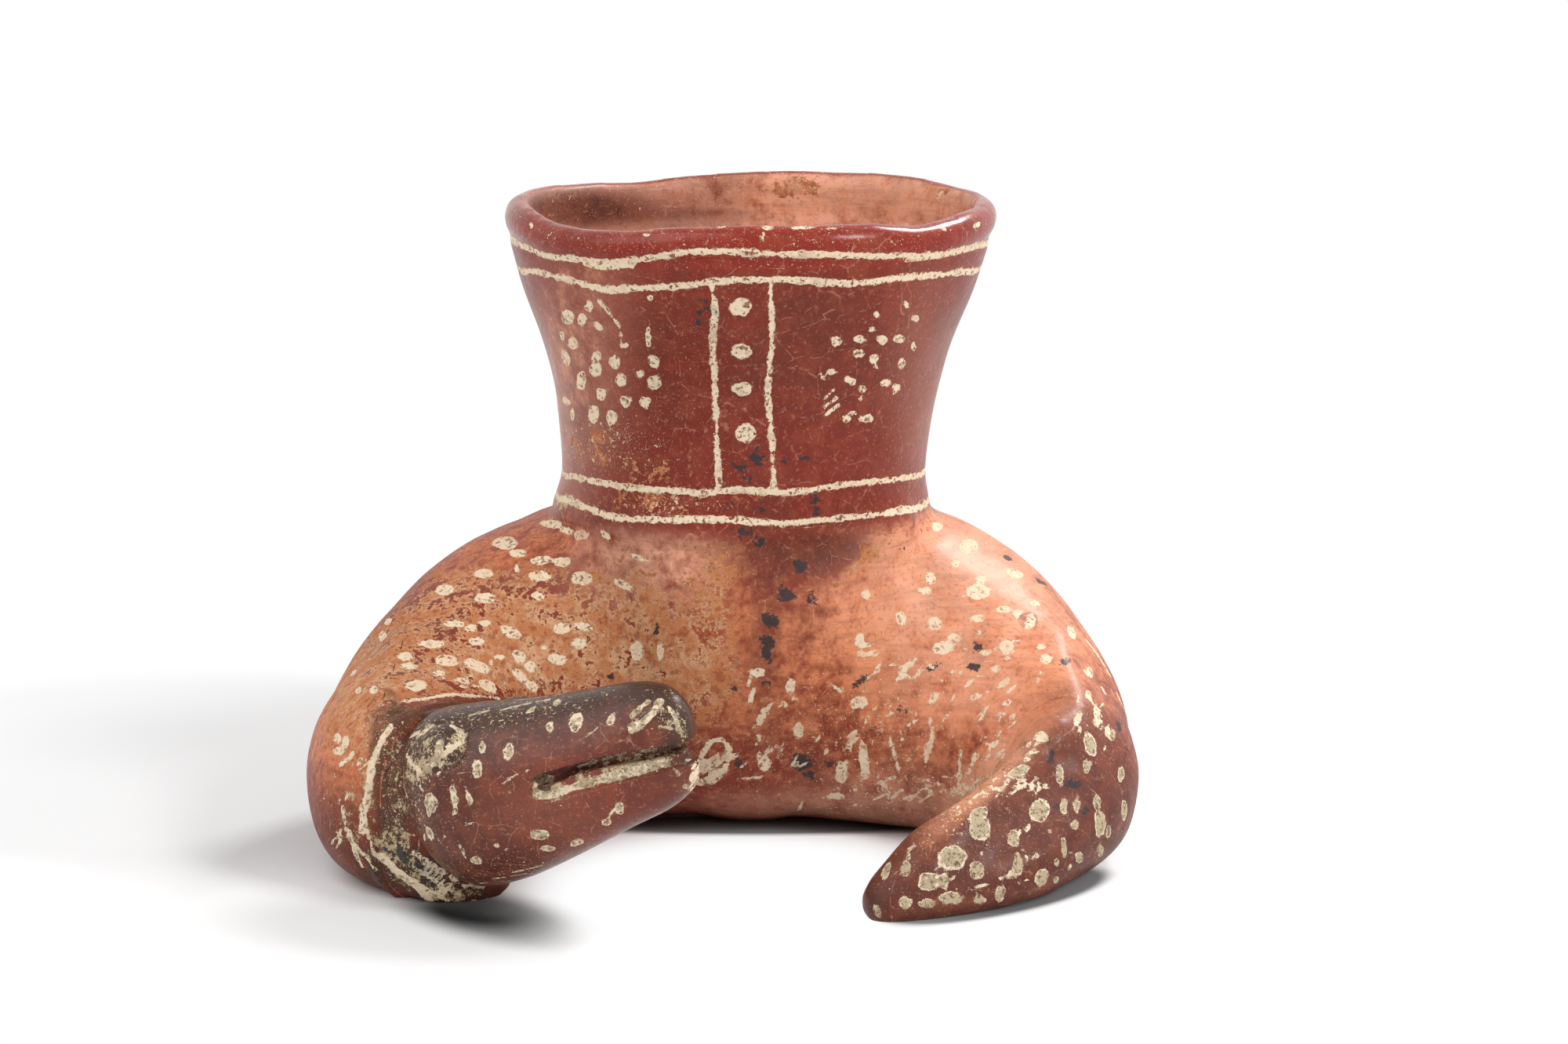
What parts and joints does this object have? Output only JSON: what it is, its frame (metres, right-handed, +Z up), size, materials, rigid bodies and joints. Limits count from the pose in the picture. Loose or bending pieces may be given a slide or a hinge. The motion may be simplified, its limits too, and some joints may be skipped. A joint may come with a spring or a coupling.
{
  "type": "effigy vessel",
  "caption": "Serpent effigy jar of burnished earthenware: a hollow crescent body with a flared neck, a head with an open mouth and a pointed tail.",
  "frame": {"origin": "middle of the footprint box, on the ground the jar stands on", "axes": "+X from the head's side to the tail's side, -Y towards the head and tail, +Z up through the mouth"},
  "size_m": [0.2314, 0.1976, 0.1786],
  "materials": {
    "red_slip": "burnished",
    "orange_slip": "burnished, worn",
    "brown_slip": "burnished, worn",
    "smoked_slip": "burnished, smoked"
  },
  "bodies": {
    "root": {"left_haunch": "orange_slip", "right_haunch": "orange_slip", "tail_cone": "brown_slip", "throat": "smoked_slip", "throat_collar": "orange_slip", "head": "smoked_slip", "eye_right": "smoked_slip", "eye_left": "smoked_slip", "neck_fillet": "red_slip", "neck_wall": "red_slip", "rolled_lip": "red_slip"}
  },
  "joints": []
}
